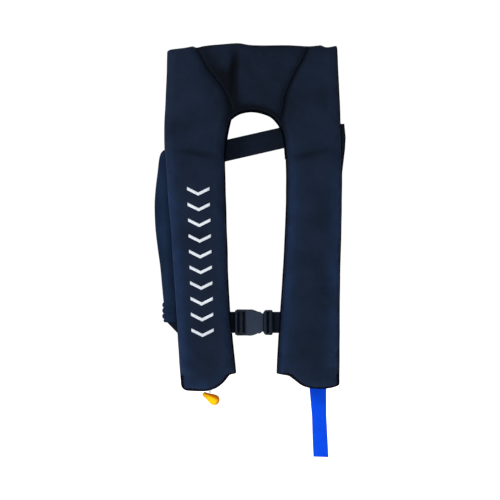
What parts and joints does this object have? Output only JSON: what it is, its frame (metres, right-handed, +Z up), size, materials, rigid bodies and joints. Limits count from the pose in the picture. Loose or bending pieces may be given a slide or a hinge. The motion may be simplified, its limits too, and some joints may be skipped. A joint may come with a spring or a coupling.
{
  "type": "inflatable life jacket",
  "caption": "Horseshoe inflatable life jacket with peel-open lobes, folded bladder, gas inflator, pull toggle, oral tube, waist belt with side release buckle and pull strap.",
  "frame": {"origin": "centre of the neck opening, in the plane of the inner cover that lies on the wearer", "axes": "+Z up towards the collar's top edge, -Y forward away from the wearer, +X to the right as seen from the front"},
  "size_m": [0.341, 0.0529, 0.7465],
  "materials": {
    "cover_fabric": "matte woven nylon",
    "lining_fabric": "matte woven polyester",
    "binding": "matte ribbed tape",
    "webbing": "matte woven webbing",
    "hook_and_loop": "matte napped tape",
    "bladder_coated": "semi-gloss coated cloth",
    "inflator_plastic": "satin moulded",
    "lever_plastic": "satin moulded",
    "bright_steel": "satin",
    "cylinder_steel": "zinc plated",
    "stem_brass": "machined",
    "cartridge_white": "matte",
    "indicator_green": "gloss",
    "cord_white": "braided",
    "toggle_yellow": "gloss moulded",
    "oral_rubber": "matte",
    "oral_plastic": "satin moulded",
    "cap_plastic": "satin moulded",
    "whistle_orange": "gloss moulded",
    "buckle_plastic": "satin moulded",
    "reflective_white": "retroreflective print",
    "strap_blue": "woven webbing"
  },
  "bodies": {
    "jacket": {"collar_front_cover": "cover_fabric", "collar_back_cover": "lining_fabric", "left_front_cover": "cover_fabric", "left_back_cover": "lining_fabric", "right_front_cover": "cover_fabric", "right_back_cover": "lining_fabric", "neck_binding": "binding", "left_loop_strip": "hook_and_loop", "right_loop_strip": "hook_and_loop", "bladder_collar": "bladder_coated", "bladder_left": "bladder_coated", "bladder_right": "bladder_coated", "inflator_body": "inflator_plastic", "lever_pin": "bright_steel", "firing_pin_spring": "bright_steel", "water_cartridge": "cartridge_white", "valve_stem": "stem_brass", "cap_nut": "stem_brass", "status_indicator": "indicator_green", "oral_tube": "oral_rubber", "oral_mouthpiece": "oral_plastic", "valve_spring": "bright_steel", "whistle_loop": "oral_rubber", "back_belt": "webbing", "right_side_belt": "webbing", "left_side_belt": "webbing", "left_front_belt": "webbing", "gathered_sleeve": "cover_fabric", "female_buckle": "buckle_plastic", "belt_keeper_1": "webbing", "belt_keeper_2": "webbing", "belt_keeper_3": "webbing", "belt_keeper_4": "webbing", "belt_keeper_5": "webbing", "upper_marks": "reflective_white", "pull_strap_anchor": "strap_blue", "strap_patch": "strap_blue"},
    "left_flap": {"left_flap": "cover_fabric", "left_hook_strip": "hook_and_loop", "lower_marks": "reflective_white"},
    "right_flap": {"right_flap": "cover_fabric", "right_hook_strip": "hook_and_loop"},
    "manual_lever": {"manual_lever": "lever_plastic"},
    "firing_pin": {"firing_pin": "bright_steel"},
    "pull_toggle": {"pull_cord": "cord_white", "pull_toggle": "toggle_yellow"},
    "co2_cylinder": {"co2_cylinder": "cylinder_steel"},
    "auto_cap": {"auto_cap": "inflator_plastic"},
    "dust_cap": {"dust_cap": "cap_plastic"},
    "valve_poppet": {"valve_poppet": "oral_plastic"},
    "whistle": {"whistle": "whistle_orange"},
    "male_buckle": {"male_buckle": "buckle_plastic", "right_front_belt": "webbing"},
    "upper_prong": {"upper_prong": "buckle_plastic"},
    "lower_prong": {"lower_prong": "buckle_plastic"},
    "belt_free_tail": {"belt_free_tail": "webbing"},
    "pull_strap": {"pull_strap": "strap_blue"}
  },
  "joints": [
    {"name": "left_flap_open", "type": "hinge", "parent": "jacket", "child": "left_flap", "pos_m": [-0.09, -0.042, -0.2435], "axis": [-1, 0, 0], "range_deg": [0, 100]},
    {"name": "right_flap_open", "type": "hinge", "parent": "jacket", "child": "right_flap", "pos_m": [0.095, -0.042, -0.2435], "axis": [-1, 0, 0], "range_deg": [0, 100]},
    {"name": "toggle_pull", "type": "slide", "parent": "jacket", "child": "pull_toggle", "axis": [0, 0, -1], "range_m": [0, 0.02941]},
    {"name": "lever_swing", "type": "hinge", "parent": "jacket", "child": "manual_lever", "pos_m": [-0.102, -0.0265, -0.419], "axis": [0, 1, 0], "range_deg": [0, 70.2]},
    {"name": "pin_strike", "type": "slide", "parent": "jacket", "child": "firing_pin", "axis": [0, 0, 1], "range_m": [0, 0.00402], "deforming": ["firing_pin_spring"]},
    {"name": "cylinder_unscrew", "type": "hinge", "parent": "jacket", "child": "co2_cylinder", "pos_m": [-0.102, -0.0265, -0.39], "axis": [0, 0, 1], "continuous": true},
    {"name": "auto_cap_unscrew", "type": "hinge", "parent": "jacket", "child": "auto_cap", "pos_m": [-0.124, -0.024, -0.42], "axis": [0, 0, 1], "continuous": true},
    {"name": "dust_cap_pull", "type": "slide", "parent": "jacket", "child": "dust_cap", "axis": [0, 0, 1], "range_m": [0, 0.016]},
    {"name": "valve_press", "type": "slide", "parent": "jacket", "child": "valve_poppet", "axis": [0, 0, -1], "range_m": [0, 0.003], "stiffness_N_per_m": 250, "deforming": ["valve_spring"]},
    {"name": "whistle_pull", "type": "slide", "parent": "jacket", "child": "whistle", "axis": [0, 0, 1], "range_m": [0, 0.03]},
    {"name": "buckle_release", "type": "slide", "parent": "jacket", "child": "male_buckle", "axis": [1, 0, 0], "range_m": [0, 0.04]},
    {"name": "upper_prong_squeeze", "type": "hinge", "parent": "male_buckle", "child": "upper_prong", "pos_m": [0.012, 0.0054, -0.3135], "axis": [0, -1, 0], "range_deg": [0, 7], "stiffness_Nm_per_rad": 0.4},
    {"name": "lower_prong_squeeze", "type": "hinge", "parent": "male_buckle", "child": "lower_prong", "pos_m": [0.012, 0.0054, -0.3395], "axis": [0, 1, 0], "range_deg": [0, 7], "stiffness_Nm_per_rad": 0.4},
    {"name": "belt_tail_adjust", "type": "slide", "parent": "jacket", "child": "belt_free_tail", "axis": [-1, 0, 0], "range_m": [0, 0.035]},
    {"name": "pull_strap_swing", "type": "hinge", "parent": "jacket", "child": "pull_strap", "pos_m": [0.113, 0.0012, -0.4505], "axis": [1, 0, 0], "range_deg": [-45, 45]}
  ],
  "couplings": [
    {"joint": "lever_swing", "follows": "toggle_pull", "rad_per_m": 41.543},
    {"joint": "pin_strike", "follows": "toggle_pull", "ratio": 0.13601}
  ]
}
